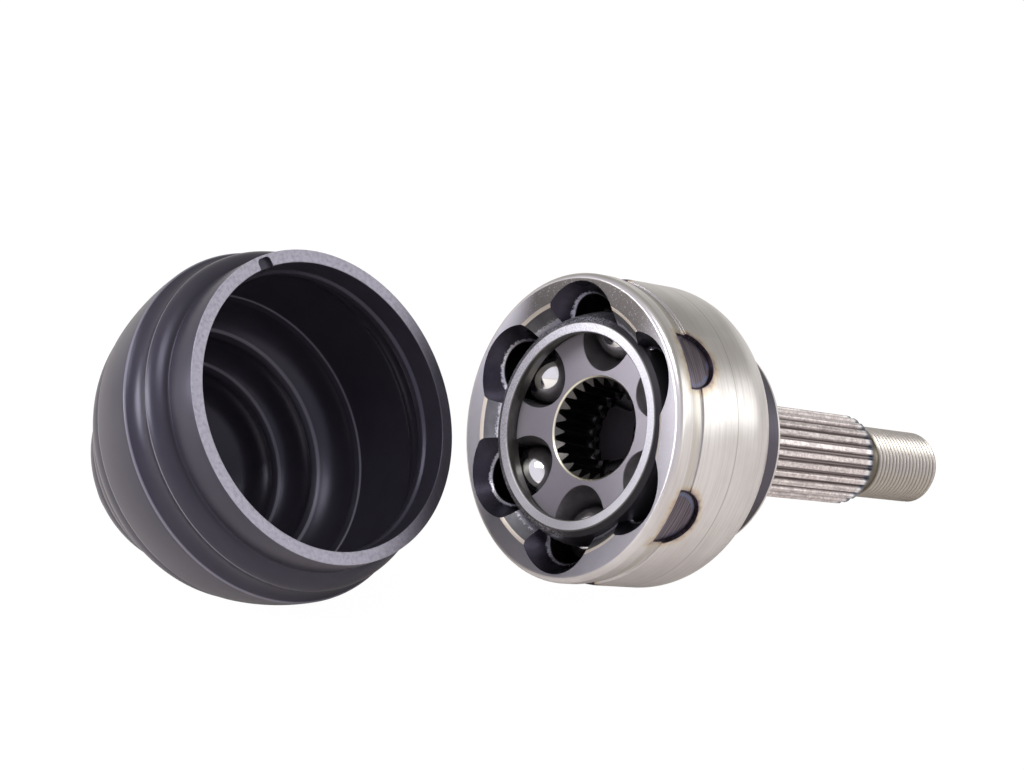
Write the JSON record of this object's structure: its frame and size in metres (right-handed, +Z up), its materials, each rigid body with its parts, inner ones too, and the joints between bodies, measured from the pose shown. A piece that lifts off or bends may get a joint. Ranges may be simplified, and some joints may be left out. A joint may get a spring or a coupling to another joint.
{
  "type": "fixed constant velocity joint with its dust boot",
  "caption": "Fixed ball-type constant velocity joint with a splined, threaded stem, lying on its side beside its loose rubber dust boot.",
  "frame": {"origin": "the joint's centre, which is the middle of the inner race and of the ball cage", "axes": "+Z up from the surface the joint lies on, +X level, from the open mouth towards the stem, +Y towards the loose boot's small end; the joint's own axis runs down by 14.9 degrees towards the stem's end"},
  "size_m": [0.2361, 0.1471, 0.09],
  "materials": {
    "bell_steel": "turned, dark heat-treated patches",
    "cage_steel": "ground and hardened",
    "race_steel": "matte, hardened",
    "ball_steel": "polished",
    "clip_steel": "blued spring steel",
    "boot_rubber": "satin"
  },
  "bodies": {
    "outer_race": {"outer_race": "bell_steel"},
    "cage": {"cage": "cage_steel"},
    "inner_race": {"inner_race": "race_steel", "circlip": "clip_steel"},
    "ball_1": {"ball_1": "ball_steel"},
    "ball_2": {"ball_2": "ball_steel"},
    "ball_3": {"ball_3": "ball_steel"},
    "ball_4": {"ball_4": "ball_steel"},
    "ball_5": {"ball_5": "ball_steel"},
    "ball_6": {"ball_6": "ball_steel"},
    "boot": {"boot": "boot_rubber"}
  },
  "joints": [
    {"name": "articulation", "type": "hinge", "parent": "outer_race", "child": "inner_race", "pos_m": [0, 0, 0], "axis": [0.204, 0.6088, 0.7667], "range_deg": [-49.5, 34.5]},
    {"name": "cage_turn", "type": "hinge", "parent": "outer_race", "child": "cage", "pos_m": [0, 0, 0], "axis": [0.204, 0.6088, 0.7667], "range_deg": [-24.95, 17.45]},
    {"name": "ball_1_roll", "type": "hinge", "parent": "outer_race", "child": "ball_1", "pos_m": [-0.00387, 0, 0.00103], "axis": [-0.2376, 0.3827, -0.8928], "range_deg": [-8.82, 12.57]},
    {"name": "ball_2_roll", "type": "hinge", "parent": "outer_race", "child": "ball_2", "pos_m": [-0.00387, 0, 0.00103], "axis": [-0.0336, 0.9914, -0.1261], "range_deg": [-12.57, 8.82]},
    {"name": "ball_3_roll", "type": "hinge", "parent": "outer_race", "child": "ball_3", "pos_m": [-0.00387, 0, 0.00103], "axis": [0.204, 0.6088, 0.7667], "range_deg": [-24.95, 17.45]},
    {"name": "ball_4_roll", "type": "hinge", "parent": "outer_race", "child": "ball_4", "pos_m": [-0.00387, 0, 0.00103], "axis": [0.2376, -0.3827, 0.8928], "range_deg": [-12.57, 8.82]},
    {"name": "ball_5_roll", "type": "hinge", "parent": "outer_race", "child": "ball_5", "pos_m": [-0.00387, 0, 0.00103], "axis": [0.0336, -0.9914, 0.1261], "range_deg": [-8.82, 12.57]},
    {"name": "ball_6_roll", "type": "hinge", "parent": "outer_race", "child": "ball_6", "pos_m": [-0.00387, 0, 0.00103], "axis": [-0.204, -0.6088, -0.7667], "range_deg": [-17.45, 24.95]},
    {"name": "boot_slide", "type": "slide", "parent": "outer_race", "child": "boot", "axis": [-1, 0, 0], "range_m": [0, 0.06]}
  ],
  "couplings": [
    {"joint": "cage_turn", "follows": "articulation", "ratio": 0.5},
    {"joint": "ball_1_roll", "follows": "articulation", "ratio": -0.25},
    {"joint": "ball_2_roll", "follows": "articulation", "ratio": 0.25},
    {"joint": "ball_3_roll", "follows": "articulation", "ratio": 0.5},
    {"joint": "ball_4_roll", "follows": "articulation", "ratio": 0.25},
    {"joint": "ball_5_roll", "follows": "articulation", "ratio": -0.25},
    {"joint": "ball_6_roll", "follows": "articulation", "ratio": -0.5}
  ]
}
